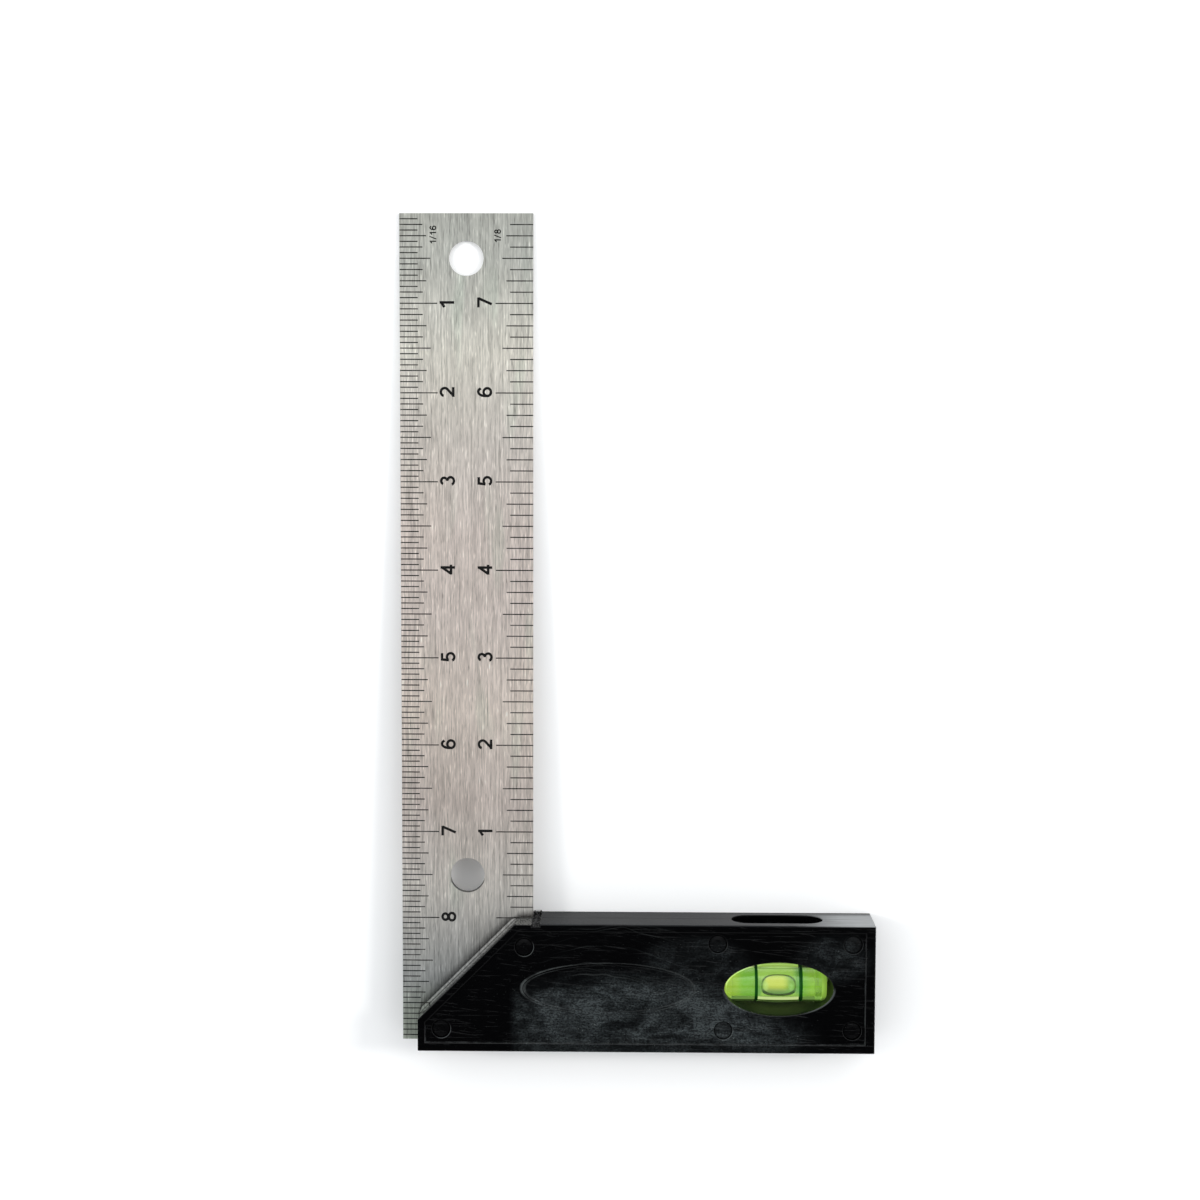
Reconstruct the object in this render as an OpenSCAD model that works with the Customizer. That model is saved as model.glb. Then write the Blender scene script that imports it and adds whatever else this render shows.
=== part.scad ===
// Try square: a graduated steel blade fixed at a right angle in a moulded handle
// that is made of two hollow halves and carries a spirit vial.
//
// Millimetres.  X runs along the handle, Y runs up the blade, Z runs through the
// thickness.  The origin is the inside corner of the square, on the rear face of
// the handle, so the handle lies below Y = 0 and the free blade stands above it.

/* [Blade] */
// Free length of the blade above the inner edge of the handle
blade_reach = 203.2; // [152.4:25.4:228.6]
// Width of the blade
blade_w = 38.1; // [36:0.1:42]
// Thickness of the blade
blade_t = 1.0; // [0.8:0.1:1.4]
// Diameter of the two round holes on the blade centre line
hang_hole_d = 9.9; // [6:0.1:12]
// Distance of those holes from the blade tip and from the handle
hang_hole_inset = 12.7; // [10:0.1:20]

/* [Graduations] */
// Width of one graduation line
tick_w = 0.32; // [0.2:0.01:0.4]
// Depth of the etched lines and numerals
mark_depth = 0.1; // [0.05:0.01:0.2]
// Stroke width of the inch numerals, before they are enlarged
numeral_stroke = 0.7; // [0.5:0.02:0.8]

/* [Handle] */
// Length of the handle to the right of the inside corner
handle_right = 99; // [97:0.5:120]
// How far the blade stands out past the left end of the handle
blade_overhang = 5; // [3:0.5:7]
// Width of the handle, inner edge to outer edge
handle_h = 37.5; // [37:0.1:42]
// Thickness of the handle
handle_t = 16.5; // [16:0.1:20]
// Distance from the inside corner back to the start of the mitre
mitre_start = 4.9; // [3:0.1:8]
// Thickness of the edge walls
wall_t = 2.2; // [1.8:0.1:2.6]
// Thickness of the face panels
panel_t = 1.8; // [1.5:0.1:2.2]
// How deep the face panels are sunk inside their rim
recess_d = 0.6; // [0.3:0.1:1]

/* [Window and slot] */
// Centre of the window along the handle
window_x = 71.3; // [70.5:0.1:72.5]
// Centre of the window below the inner edge
window_y = 18.8; // [18:0.1:20]
// Half length of the window
window_rx = 15.7; // [14:0.1:16]
// Half width of the window
window_ry = 7.8; // [7:0.1:8.2]
// Length of the sight slot in the inner edge
slot_len = 26.4; // [20:0.1:27]
// Width of the sight slot
slot_w = 9.9; // [7:0.1:10.4]

/* [Vial] */
// Middle of the barrelled bore, between the index rings, along the handle
vial_x = 71.45; // [71:0.05:72]
// Left end of the vial, hidden behind the end of the window
vial_left = 54.5; // [54:0.1:55.2]
// Right end of the vial, just inside the window
vial_right = 85.5; // [85:0.1:86]
// Outside radius of the tube where the handle holds it
vial_r = 5.4; // [5.2:0.05:5.6]
// How far the outside of the tube swells between the index rings
barrel = 0.45; // [0.2:0.05:0.5]
// Radius of the bore at its middle
bore_mid_r = 4.35; // [4.3:0.01:4.45]
// Radius of the bore at its ends
bore_end_r = 4.25; // [4.15:0.01:4.28]
// Distance between the two index rings
ring_gap = 12.95; // [11:0.05:15]
// Length of the bubble
bubble_len = 9.9; // [8:0.1:10.5]

/* [Pins] */
// Diameter of the pin heads
pin_head_d = 5.1; // [4.4:0.1:5.2]
// Diameter of the pin shanks
pin_d = 2.5; // [2:0.1:2.6]

/* [Hidden] */
inch = 25.4;
over = 1;                            // how far a cut runs past the face it opens
half_t = handle_t / 2;               // height of one handle half
handle_left = blade_overhang - blade_w;

// where the blade meets the handle
tang = 36.2;                         // blade length hidden in the handle
relief_h = 0.6;                      // shallow relief cut at the inside corner
relief_w = 2.1;
relief_floor = 1.0;                  // it stops this far above the rear face
shoulder_x = 0.4;                    // the tang is this much narrower than the free blade
shoulder_y = relief_h - 0.05;        // its shoulder stands just clear of the relief
blade_z = half_t - blade_t / 2;

// pin centres: two through the blade, two near the left end of the vial, two at the right end
pin_at = [[-2.3, -6.8], [-26.3, -31.0], [53.6, -5.6], [55.3, -31.0], [92.6, -5.6], [92.5, -30.9]];
counterbore_d = pin_head_d + 0.3;
counterbore_h = 1.2;
head_h = 0.9;
pin_socket = 4.4;                    // how deep a shank sits in the rear half

steel = [0.72, 0.72, 0.70];
black = [0.06, 0.06, 0.07];
lime = [0.55, 0.80, 0.25];
dark_green = [0.03, 0.25, 0.12];
bubble_yellow = [0.85, 0.88, 0.4];

module at_pins(which = [0:5]) {
  for (i = which) translate([pin_at[i][0], pin_at[i][1], 0]) children();
}

// ---------------------------------------------------------------- numerals
// Every numeral stands on Y = 0 and is made of straight strokes, bows and loops.
glyph_h = 3.95;

module stroke(start, end, width) {
  along = end - start;
  side = [-along[1], along[0]] / norm(along) * width / 2;
  polygon([start + side, start - side, end - side, end + side]);
}

function on_oval(centre, radii, angle) =
  centre + [radii[0] * cos(angle), radii[1] * sin(angle)];

// part of an oval ring
module bow(centre, radii, start, end, width) {
  steps = 12;
  half = [width, width] / 2;
  turn = (end - start) / steps;
  polygon(concat(
    [for (i = [0:steps]) on_oval(centre, radii + half, start + turn * i)],
    [for (i = [steps:-1:0]) on_oval(centre, radii - half, start + turn * i)]));
}

module oval(centre, radii) {
  sides = 24;
  polygon([for (i = [0:sides - 1]) on_oval(centre, radii, 360 * i / sides)]);
}

module loop(centre, radii, width) {
  half = [width, width] / 2;
  difference() {
    oval(centre, radii + half);
    oval(centre, radii - half);
  }
}

module numeral(digit, width) {
  top = glyph_h - width / 2;
  if (digit == 1) {
    stroke([0, 0], [0, glyph_h], width);
    stroke([-1.25, 2.65], [0.1, top - 0.05], width);
  }
  if (digit == 2) {
    bow([0, 2.65], [1.05, 1.05], 165, -42, width);
    stroke([0.86, 2.04], [-1.0, 0.28], width);
    stroke([-1.3, width / 2], [1.3, width / 2], width);
  }
  if (digit == 3) {
    bow([0, 2.87], [0.85, 0.83], 160, -90, width);
    bow([0, 1.13], [1.0, 0.91], 90, -160, width);
  }
  if (digit == 4) {
    stroke([0.5, 0], [0.5, glyph_h], width);
    stroke([-1.2, 1.05], [0.55, top], width);
    stroke([-1.4, 1.1], [1.25, 1.1], width);
  }
  if (digit == 5) {
    stroke([-0.75, top], [1.05, top], width);
    stroke([-0.6, glyph_h], [-0.85, 1.75], width);
    bow([0, 1.27], [1.05, 1.02], 140, -155, width);
  }
  if (digit == 6) {
    loop([0, 1.25], [1.02, 1.0], width);
    bow([0.1, 1.85], [1.12, 1.85], 195, 38, width);
  }
  if (digit == 7) {
    stroke([-1.3, top], [1.3, top], width);
    stroke([1.12, top + 0.05], [-0.45, 0], width);
  }
  if (digit == 8) {
    loop([0, 1.12], [1.02, 0.87], width);
    loop([0, 2.92], [0.86, 0.78], width);
  }
  if (digit == 9) {
    loop([0, 2.7], [1.02, 1.0], width);
    bow([-0.1, 2.1], [1.12, 1.85], 15, -142, width);
  }
}

// ---------------------------------------------------------------- graduations
// line lengths: inch, half, quarter, eighth, sixteenth
tick_lengths = [10.75, 8.8, 7.65, 6.6, 5.2];
inches = round(blade_reach / inch);
numeral_scale = [1.08, 1.06];
numeral_lift = 0.25;                 // gap between an inch line and its numeral
sixteenths_x = -22.5;                // foot of the inch numerals on each scale
eighths_x = -11.8;
fraction_scale = 0.47;
fraction_stroke = 0.74;
slash_stroke = 0.64;

// length of line k on a scale with parts lines to the inch
function tick_len(k, parts) = tick_lengths[
  k % parts == 0 ? 0 :
  k % (parts / 2) == 0 ? 1 :
  k % (parts / 4) == 0 ? 2 :
  k % (parts / 8) == 0 ? 3 : 4];

module inch_numeral(digit, x, line_y) {
  translate([x, line_y + numeral_lift]) rotate(90) scale(numeral_scale)
    numeral(digit, numeral_stroke);
}

// small mark at the head of each scale: "1/16" or "1/8"
module fraction(parts) {
  // [place, digit] below the slash
  digits = parts == 16 ? [[5.2, 1], [8.0, 6]] : [[5.0, parts]];
  scale([fraction_scale, fraction_scale]) {
    numeral(1, fraction_stroke);
    stroke([1.3, -0.1], [2.9, glyph_h + 0.1], slash_stroke);
    for (entry = digits) translate([entry[0], 0]) numeral(entry[1], fraction_stroke);
  }
}

module graduations() {
  // left edge, sixteenths, counted down from the tip and on along the tang
  for (k = [1:floor((blade_reach + tang) * 16 / inch)])
    translate([-blade_w - over, blade_reach - k * inch / 16 - tick_w / 2])
      square([tick_len(k, 16) + over, tick_w]);
  for (k = [1:inches]) inch_numeral(k, sixteenths_x, blade_reach - k * inch);
  // right edge, eighths, counted up from the handle
  for (k = [0:inches * 8 - 1])
    translate([-tick_len(k, 8), k * inch / 8 - tick_w / 2])
      square([tick_len(k, 8) + over, tick_w]);
  for (k = [1:inches - 1]) inch_numeral(k, eighths_x, k * inch);
  // scale marks
  translate([-27.6, blade_reach - 7.9]) rotate(90) fraction(16);
  translate([-9.2, blade_reach - 7.5]) rotate(90) fraction(8);
}

// ---------------------------------------------------------------- blade
module blade() {
  tang_overlap = 1;                  // how far the tang runs into the free blade
  color(steel)
  difference() {
    union() {
      translate([-blade_w, -shoulder_y, blade_z])
        cube([blade_w, blade_reach + shoulder_y, blade_t]);
      translate([-blade_w, -tang, blade_z])
        cube([blade_w - shoulder_x, tang - shoulder_y + tang_overlap, blade_t]);
    }
    for (y = [blade_reach - hang_hole_inset, hang_hole_inset])
      translate([-blade_w / 2, y, blade_z - over])
        cylinder(h = blade_t + 2 * over, d = hang_hole_d, $fn = 96);
    at_pins([0, 1]) translate([0, 0, blade_z - over])
      cylinder(h = blade_t + 2 * over, d = pin_d, $fn = 48);
    translate([0, 0, blade_z + blade_t - mark_depth])
      linear_extrude(mark_depth + over) graduations();
  }
}

// ---------------------------------------------------------------- handle halves
// insets from the edges of the handle: [left, inner, outer, right, mitre]
even = [1, 1, 1, 1, 1];
rim_w = [2.25, 2.3, 2.6, 2.9, 2.25];

cavity_h = half_t - recess_d - panel_t;
fill_h = cavity_h + 0.2;             // inside features run a little into the panel
boss_r = 3.5;                        // round bosses for the pins

rib_t = 1.4;
rib_x = [-22.5, -12.5, 14, 26, 38];
blade_rib_y = -24.5;
rib_inset = 1;                       // the ribs run this close to the outline
stop_t = 1.6;                        // plates at the ends of the vial
stop_half_w = 6.6;

collar_w = 1.6;                      // wall round the window
slot_x = vial_x - 0.35;
slot_depth = 14.5;
slot_wall = 1.7;                     // block beyond each end of the slot
block_y = [-12, -1];
vial_y = -18.65;

oval_line_at = [22, -18.9];          // raised oval line on the front panel
oval_line_outer = [25.1, 7.6];
oval_line_inner = [24.2, 6.8];
oval_line_h = 0.35;
oval_line_sink = 0.1;

// Outline of the handle moved inwards.
module outline(inset = 0 * even) {
  left = handle_left + inset[0];
  inner = -inset[1];
  outer = inset[2] - handle_h;
  right = handle_right - inset[3];
  mitre = mitre_start - inset[4] * sqrt(2);
  polygon([[inner - mitre, inner], [right, inner], [right, outer], [left, outer],
           [left, left + mitre]]);
}

module smooth_oval(centre, radii) {
  translate(centre) scale([radii[0] / radii[1], 1]) circle(r = radii[1], $fn = 96);
}

module window_oval(grow = 0) {
  smooth_oval([window_x, -window_y], [window_rx + grow, window_ry + grow]);
}

// ribs that stiffen the panel, back the blade and stop the vial endways
module ribs() {
  intersection() {
    outline(rib_inset * even);
    union() {
      translate([0, -handle_h]) square([wall_t, handle_h]);
      for (x = rib_x) translate([x - rib_t / 2, -handle_h]) square([rib_t, handle_h]);
      translate([-30, blade_rib_y - rib_t / 2]) square([31, rib_t]);
      translate([1, -window_y - rib_t / 2]) square([vial_left - stop_t, rib_t]);
      for (x = [vial_left - stop_t, vial_right])
        translate([x, vial_y - stop_half_w]) square([stop_t, 2 * stop_half_w]);
    }
  }
}

// hollow tray with a sunk panel
module tray() {
  difference() {
    linear_extrude(half_t) outline();
    translate([0, 0, half_t - recess_d]) linear_extrude(recess_d + over) outline(rim_w);
    translate([0, 0, -over]) linear_extrude(cavity_h + over) outline(wall_t * even);
  }
}

// pocket for the tang of the blade, open at the inner edge, mitre and left end
module tang_pocket() {
  translate([handle_left - over, -tang, -over])
    cube([over - handle_left - shoulder_x, tang + over, over + blade_t / 2]);
  translate([-1, -relief_h, -over]) cube([2, relief_h + over, over + blade_t / 2]);
}

// round-ended slot in the inner edge
module sight_slot() {
  straight = slot_len - slot_w;
  for (side = [-1, 1]) translate([slot_x + side * straight / 2, over, 0])
    rotate([90, 0, 0]) cylinder(h = slot_depth + over, d = slot_w, $fn = 64);
  translate([slot_x - straight / 2, -slot_depth, -slot_w / 2])
    cube([straight, slot_depth + over, slot_w]);
}

// One half with its parting face at Z = 0 and its outer face at Z = half_t.
// relief_top is how high the relief at the inside corner is cut.
module half_shell(relief_top = half_t + over) {
  difference() {
    union() {
      tray();
      linear_extrude(fill_h) ribs();
      at_pins() cylinder(h = fill_h, r = boss_r, $fn = 64);
      // collar round the window and the block behind the sight slot
      linear_extrude(fill_h) window_oval(collar_w);
      translate([slot_x - slot_len / 2 - slot_wall, block_y[0], 0])
        cube([slot_len + 2 * slot_wall, block_y[1] - block_y[0], fill_h]);
    }
    tang_pocket();
    translate([0, 0, -over]) linear_extrude(half_t + 2 * over) window_oval();
    sight_slot();
    // seat of the vial
    translate([vial_left, vial_y, 0]) rotate([0, 90, 0])
      cylinder(h = vial_right - vial_left, r = vial_r, $fn = 96);
    // relief at the inside corner
    translate([0, -relief_h, -over]) cube([relief_w, relief_h + over, relief_top + over]);
  }
}

module handle_front() {
  color(black)
  translate([0, 0, half_t])
  difference() {
    union() {
      half_shell();
      translate([0, 0, half_t - recess_d - oval_line_sink]) linear_extrude(oval_line_h)
        difference() {
          smooth_oval(oval_line_at, oval_line_outer);
          smooth_oval(oval_line_at, oval_line_inner);
        }
    }
    at_pins() {
      translate([0, 0, -over]) cylinder(h = half_t + 2 * over, d = pin_d, $fn = 48);
      translate([0, 0, half_t - recess_d - counterbore_h])
        cylinder(h = counterbore_h + recess_d + over, d = counterbore_d, $fn = 64);
    }
  }
}

module handle_rear() {
  tip_gap = 0.1;                     // space below the tip of a pin
  color(black)
  translate([0, 0, half_t]) mirror([0, 0, 1])
  difference() {
    half_shell(half_t - relief_floor);
    at_pins() translate([0, 0, -over])
      cylinder(h = over + pin_socket + tip_gap, d = pin_d, $fn = 48);
  }
}

// ---------------------------------------------------------------- pins
// Headed drive pin: slightly domed head, plain shank, short taper at the tip.
module drive_pin(i) {
  head_z = handle_t - recess_d - counterbore_h;
  head_top = head_z + head_h;
  tip_z = half_t - pin_socket;
  shank_r = pin_d / 2;
  head_r = pin_head_d / 2;
  bevel = 0.25;
  color(black)
  at_pins([i]) rotate_extrude($fn = 64)
    polygon([[0, tip_z], [shank_r - 0.4, tip_z], [shank_r, tip_z + 0.8], [shank_r, head_z],
             [head_r, head_z], [head_r, head_top - bevel],
             [head_r - bevel, head_top - 0.05], [head_r / 2, head_top],
             [0, head_top]]);
}

// ---------------------------------------------------------------- vial
// Profiles are [radius, distance along the vial from vial_x].
ring_w = 0.7;
ring_depth = 0.2;
plug_in = 1.8;                       // length of a plug inside the bore
plug_flange = 1.6;                   // thickness and rounding radius of its flange
bubble_ry = 4.0;
bubble_rz = 2.5;
bubble_gap = 0.05;                   // between the bubble and the spirit
bubble_wall_gap = 0.02;              // between the bubble and the bore

tube_ends = [vial_left + plug_flange - vial_x, vial_right - plug_flange - vial_x];
bore_ends = [tube_ends[0] + plug_in, tube_ends[1] - plug_in];

// radius of the slightly barrelled bore
function bore_r(along) =
  bore_mid_r - (bore_mid_r - bore_end_r) * pow(along / max(-bore_ends[0], bore_ends[1]), 2);
bore_line = [for (i = [0:10])
  let (along = bore_ends[0] + (bore_ends[1] - bore_ends[0]) * i / 10) [bore_r(along), along]];

// turns a profile about the axis of the vial
module on_vial() {
  translate([vial_x, vial_y, half_t]) rotate([0, 90, 0]) rotate_extrude($fn = 96) children();
}

// The tube has a groove for each index ring and swells between them.
module vial_tube() {
  near = ring_gap / 2 - ring_w / 2;
  far = ring_gap / 2 + ring_w / 2;
  groove_r = vial_r - ring_depth;
  color([lime[0], lime[1], lime[2], 0.5])
  on_vial() polygon(concat(
    [[bore_end_r, tube_ends[0]]],
    bore_line,
    [[bore_end_r, bore_ends[1]], [bore_end_r, tube_ends[1]]],
    [[vial_r, tube_ends[1]], [vial_r, far], [groove_r, far], [groove_r, near], [vial_r, near]],
    [for (i = [3:-1:-3]) [vial_r + barrel * cos(i * 22.5), i * near / 4]],
    [[vial_r, -near], [groove_r, -near], [groove_r, -far], [vial_r, -far],
     [vial_r, tube_ends[0]]]));
}

// side is -1 for the left end and 1 for the right, here and for the plugs
module index_ring(side) {
  color(dark_green)
  on_vial() translate([vial_r - ring_depth, side * ring_gap / 2 - ring_w / 2])
    square([ring_depth, ring_w]);
}

// Plug pushed into an end of the tube, with a rounded flange over the end.
module vial_plug(side) {
  end = side < 0 ? -tube_ends[0] : tube_ends[1];
  color(lime)
  translate([vial_x, vial_y, half_t]) rotate([0, side * 90, 0]) rotate_extrude($fn = 96)
    polygon(concat(
      [[0, end - plug_in], [bore_end_r, end - plug_in], [bore_end_r, end]],
      [for (i = [0:6])
        [vial_r - plug_flange + plug_flange * cos(i * 15), end + plug_flange * sin(i * 15)]],
      [[0, end + plug_flange]]));
}

// The liquid fills the bore except for the gap along its +Z side in which the bubble runs.
module vial_spirit() {
  gap_ry = bubble_ry + bubble_gap;
  gap_rz = bubble_rz + bubble_gap;
  color([lime[0], lime[1], lime[2], 0.6])
  difference() {
    on_vial() polygon(concat([[0, bore_ends[0]]], bore_line, [[0, bore_ends[1]]]));
    translate([vial_x, vial_y, half_t + bore_end_r]) rotate([0, 90, 0])
      scale([gap_rz / gap_ry, 1, 1])
        cylinder(h = 40, r = gap_ry, center = true, $fn = 96);
  }
}

module vial_bubble() {
  color(bubble_yellow)
  intersection() {
    translate([vial_x - bubble_len, vial_y, half_t]) rotate([0, 90, 0])
      cylinder(h = 2 * bubble_len, r = bore_end_r - bubble_wall_gap, $fn = 96);
    translate([vial_x, vial_y, half_t + bore_end_r])
      scale([bubble_len / 2 / bubble_ry, 1, bubble_rz / bubble_ry])
        sphere(r = bubble_ry, $fn = 64);
  }
}

blade();
handle_front();
handle_rear();
drive_pin(0);  // pin_tang_inner
drive_pin(1);  // pin_tang_outer
drive_pin(2);  // pin_middle_inner
drive_pin(3);  // pin_middle_outer
drive_pin(4);  // pin_end_inner
drive_pin(5);  // pin_end_outer
vial_tube();
vial_spirit();
vial_bubble();
index_ring(-1);  // index_ring_left
index_ring(1);  // index_ring_right
vial_plug(-1);  // vial_plug_left
vial_plug(1);  // vial_plug_right
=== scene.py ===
import math

import bmesh
import bpy
from mathutils import Matrix, Vector


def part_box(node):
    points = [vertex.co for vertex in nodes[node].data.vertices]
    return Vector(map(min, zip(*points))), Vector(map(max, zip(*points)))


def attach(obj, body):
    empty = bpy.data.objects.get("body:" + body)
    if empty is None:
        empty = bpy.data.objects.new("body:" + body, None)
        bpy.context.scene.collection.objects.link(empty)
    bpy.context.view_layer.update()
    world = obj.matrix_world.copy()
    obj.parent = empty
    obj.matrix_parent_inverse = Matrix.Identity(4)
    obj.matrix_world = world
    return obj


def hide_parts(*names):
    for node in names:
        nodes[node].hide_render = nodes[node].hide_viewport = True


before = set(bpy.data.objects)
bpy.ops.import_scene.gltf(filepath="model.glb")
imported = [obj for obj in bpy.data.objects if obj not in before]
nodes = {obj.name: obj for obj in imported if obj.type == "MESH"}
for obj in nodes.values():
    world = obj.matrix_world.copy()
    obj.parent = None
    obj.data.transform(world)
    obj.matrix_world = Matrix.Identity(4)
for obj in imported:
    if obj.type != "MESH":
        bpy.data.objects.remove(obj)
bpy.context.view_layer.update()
scene = bpy.context.scene

MM = 0.001                      # metres in a millimetre
DIAGONAL = 0.7071               # turns y - x into a distance across a 45 degree line

# ------------------------------------------------------------------ measures, in mm
blade_lo, blade_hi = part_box("blade")
face_z = blade_hi.z * 1000                          # graduated face
blade_half_width = (blade_hi.x - blade_lo.x) * 500
BLADE_MIDDLE = 19.05                                # middle of the graduations, left of x = 0
NEAR_HOLE_Y = 12.7                                  # hole in the blade nearest the handle

handle_lo, handle_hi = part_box("handle_front")
handle_left = handle_lo.x * 1000
handle_right = handle_hi.x * 1000
handle_bottom = handle_lo.y * 1000
MITRE_X = 4.9                   # the mitre starts this far left of the inside corner
PANEL_Z = 15.9                  # sunk panel on the front of the handle
HALVES_Z = 8.25                 # joint of the handle's two halves
EDGE_RADIUS = 0.30              # widest rounding of the handle's edges

WINDOW_X, WINDOW_Y = 71.3, -18.8                    # middle of the window
WINDOW_HALF_X, WINDOW_HALF_Y = 15.7, 7.8

PIN_RIM = 2.74                  # radius of the painted highlight ring round each pin hole
PIN_SHINE = {"pin_tang_inner": 0.9, "pin_tang_outer": 0.8, "pin_middle_inner": 0.15,
             "pin_middle_outer": 0.75, "pin_end_inner": 0.15, "pin_end_outer": 0.1}

tube_lo, tube_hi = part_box("vial_tube")
spirit_lo, spirit_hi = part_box("vial_spirit")
ring_left, ring_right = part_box("index_ring_left"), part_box("index_ring_right")
vial_x = (ring_left[0].x + ring_right[1].x) / 2 * 1000
vial_y = (tube_lo.y + tube_hi.y) / 2 * 1000
vial_z = (tube_lo.z + tube_hi.z) / 2 * 1000

BORE_MIDDLE, BORE_END = 4.35, 4.25                  # radii of the barrel-shaped bore
SPIRIT_GAP = 0.20               # between the spirit and the bore
SPIRIT_END_GAP = 0.03           # at each end of the column
SPIRIT_CORNER = 0.3             # rounding of the column's ends
BUBBLE_HALF_LENGTH = 5.08
BUBBLE_HALF_WIDTH = 3.3         # measured round the bore
BUBBLE_SQUARENESS = 2.7         # exponent of its outline: 2 is an ellipse
BUBBLE_TOP = 4.215              # radius of its upper side from the vial's axis
BUBBLE_DEPTH = 1.1
BUBBLE_DROP = 0.055             # fall of the upper side at the outline
ROUND_SEGMENTS = 96


# ------------------------------------------------------------------ node graphs
def math_op(kind, swap=False):
    """A method that adds a math node, with its two operands swapped if asked."""
    def method(self, other=0.0):
        pair = (other, self) if swap else (self, other)
        return self.graph.math(kind, *pair)
    return method


class Value:
    """A node's output. Python arithmetic on it adds math nodes to its graph."""

    def __init__(self, graph, socket):
        self.graph = graph
        self.socket = socket

    __add__ = math_op("ADD")
    __radd__ = math_op("ADD", swap=True)
    __sub__ = math_op("SUBTRACT")
    __rsub__ = math_op("SUBTRACT", swap=True)
    __mul__ = math_op("MULTIPLY")
    __truediv__ = math_op("DIVIDE")
    __pow__ = math_op("POWER")
    __gt__ = math_op("GREATER_THAN")
    __lt__ = math_op("LESS_THAN")
    __abs__ = math_op("ABSOLUTE")
    sqrt = math_op("SQRT")
    max = math_op("MAXIMUM")
    min = math_op("MINIMUM")

    def step(self, start, stop, to=(0.0, 1.0)):
        """Eases from to[0], where this value is start, to to[1], where it is stop."""
        return self.graph.map_range("SMOOTHSTEP", self, start, stop, to)

    def line(self, start, stop, to=(0.0, 1.0)):
        """The same as step, but in a straight line."""
        return self.graph.map_range("LINEAR", self, start, stop, to)


class Graph:
    """A node tree, with short calls for the nodes used here."""

    math_rest = {}              # further inputs to fill on math nodes

    def __init__(self, tree):
        self.tree = tree

    def put(self, socket, value):
        """Links a value to a socket, or sets it there. Colours get an alpha of 1."""
        if isinstance(value, Value):
            self.tree.links.new(value.socket, socket)
        elif isinstance(value, tuple) and len(value) == 3 and len(socket.default_value) == 4:
            socket.default_value = (*value, 1.0)
        else:
            socket.default_value = value

    def node(self, kind, inputs=None, output=0, **props):
        """Adds a node, fills its inputs by name or number and returns one of its outputs."""
        made = self.tree.nodes.new(kind)
        for key, value in props.items():
            setattr(made, key, value)
        for key, value in (inputs or {}).items():
            self.put(made.inputs[key], value)
        return Value(self, made.outputs[output])

    def math(self, kind, first, second):
        return self.node("ShaderNodeMath", {0: first, 1: second, **self.math_rest},
                         operation=kind)

    def map_range(self, kind, value, start, stop, to):
        return self.node("ShaderNodeMapRange", dict(enumerate((value, start, stop, *to))),
                         interpolation_type=kind)

    def split(self, vector):
        """The three parts of a vector."""
        parts = self.node("ShaderNodeSeparateXYZ", {0: vector})
        return [Value(self, socket) for socket in parts.socket.node.outputs]


class Mat(Graph):
    """A material built from nodes."""

    math_rest = {2: 0.0}

    def __init__(self, name):
        self.material = bpy.data.materials.new(name)
        self.material.use_nodes = True
        super().__init__(self.material.node_tree)
        self.tree.nodes.clear()
        self.out = self.tree.nodes.new("ShaderNodeOutputMaterial")

    def point(self):
        """Object coordinates in millimetres."""
        place = self.node("ShaderNodeTexCoord", output="Object")
        return self.node("ShaderNodeVectorMath", {0: place, "Scale": 1000.0},
                         output="Vector", operation="SCALE")

    def stretch(self, vector, scale, shift=(0, 0, 0)):
        return self.node("ShaderNodeMapping",
                         {"Vector": vector, "Scale": scale, "Location": shift})

    def noise(self, vector, stretch=None, shift=(0, 0, 0), scale=1.0, detail=2.0, rough=0.5,
              distort=0.0):
        """Noise. A small number in stretch draws it out along that axis."""
        if stretch:
            vector = self.stretch(vector, stretch, shift)
        return self.node("ShaderNodeTexNoise", {
            "Vector": vector, "Scale": scale, "Detail": detail, "Roughness": rough,
            "Distortion": distort}, output="Fac")

    def mix(self, amount, base, top, mode="MIX"):
        return self.node("ShaderNodeMix", {0: amount, 6: base, 7: top}, output=2,
                         data_type="RGBA", blend_type=mode)

    def paint(self, base, *layers):
        """Lays (amount, colour) pairs over a base colour, one after the other."""
        for amount, colour in layers:
            base = self.mix(amount, base, colour)
        return base

    def ramp(self, amount, stops):
        ramp = self.node("ShaderNodeValToRGB", {0: amount})
        elements = ramp.socket.node.color_ramp.elements
        elements.remove(elements[0])
        elements[0].position = stops[0][0]
        elements[0].color = (*stops[0][1], 1)
        for position, colour in stops[1:]:
            elements.new(position).color = (*colour, 1)
        return ramp

    def bump(self, height, depth, strength, under=None):
        """A bump of this depth in mm, on top of another normal if one is given."""
        inputs = {"Height": height, "Distance": depth * MM, "Strength": strength}
        if under is not None:
            inputs["Normal"] = under
        return self.node("ShaderNodeBump", inputs)

    def principled(self, **settings):
        return self.node("ShaderNodeBsdfPrincipled",
                         {key.replace("_", " "): value for key, value in settings.items()})

    def surface(self, shader):
        self.put(self.out.inputs["Surface"], shader)
        return self

    def glowing(self, colour, **settings):
        """A surface that gives off its own colour, as liquid lit from behind does."""
        return self.surface(self.principled(
            Base_Color=self.mix(0.7, colour, (0, 0, 0)), Emission_Color=colour,
            Emission_Strength=SPIRIT_GLOW, **settings))

    def give(self, *objects):
        """Puts the material in every slot of the objects."""
        for obj in objects:
            slots = obj.data.materials
            if slots:
                for i in range(len(slots)):
                    slots[i] = self.material
            else:
                slots.append(self.material)


def grey(level):
    return (level, level, level)


def length(x, y):
    return (x * x + y * y).sqrt()


def oval(x, y, half_x, half_y):
    """Distance from the origin, 1 on the ellipse with these half axes."""
    return ((x / half_x) ** 2.0 + (y / half_y) ** 2.0).sqrt()


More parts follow.
